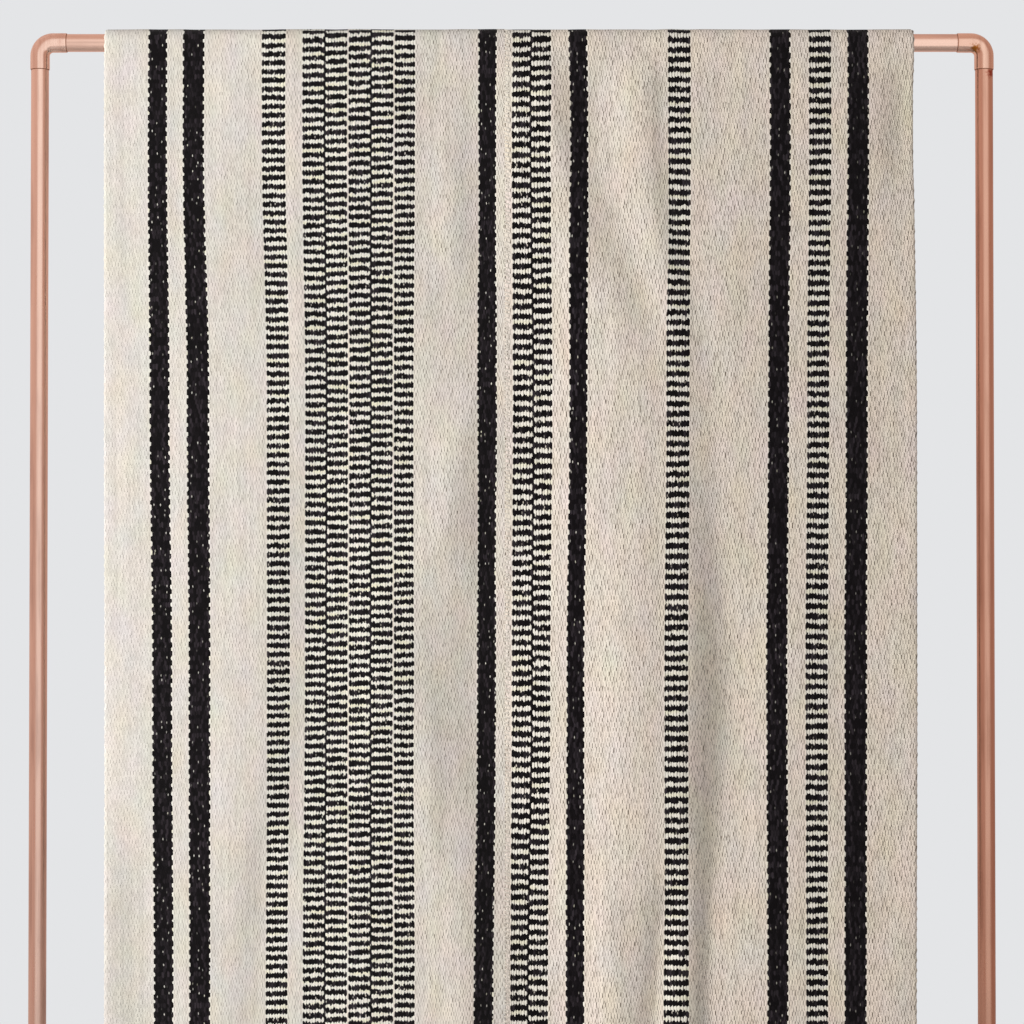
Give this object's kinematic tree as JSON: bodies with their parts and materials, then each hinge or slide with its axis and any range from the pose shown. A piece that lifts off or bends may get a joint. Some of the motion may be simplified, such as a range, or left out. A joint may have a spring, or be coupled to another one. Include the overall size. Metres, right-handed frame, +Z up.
{
  "type": "handwoven rug on a pipe rack",
  "caption": "Striped handwoven rug, joined down its middle, draped over the bar of a free-standing copper pipe rack.",
  "frame": {"origin": "on the floor under the middle of the rack", "axes": "+Z up, +X along the bar to the viewer's right, -Y towards the viewer in front of the long fall"},
  "size_m": [1.2086, 0.46, 1.5051],
  "materials": {
    "rug_wool": "handspun undyed wool with black stripes, warp-faced weave",
    "copper": "mill-finish copper pipe, lightly tarnished"
  },
  "bodies": {
    "root": {"rug_panel_left": "rug_wool", "rug_panel_right": "rug_wool", "rack_top_bar": "copper", "rack_elbow_left": "copper", "rack_elbow_right": "copper", "rack_upright_left": "copper", "rack_upright_right": "copper", "rack_rail_tee_left": "copper", "rack_rail_tee_right": "copper", "rack_low_rail": "copper", "rack_stub_left": "copper", "rack_stub_right": "copper", "rack_foot_tee_left": "copper", "rack_foot_tee_right": "copper", "rack_foot_pipe_left_front": "copper", "rack_foot_pipe_left_back": "copper", "rack_foot_pipe_right_front": "copper", "rack_foot_pipe_right_back": "copper", "rack_foot_cap_left_front": "copper", "rack_foot_cap_left_back": "copper", "rack_foot_cap_right_front": "copper", "rack_foot_cap_right_back": "copper"}
  },
  "joints": []
}
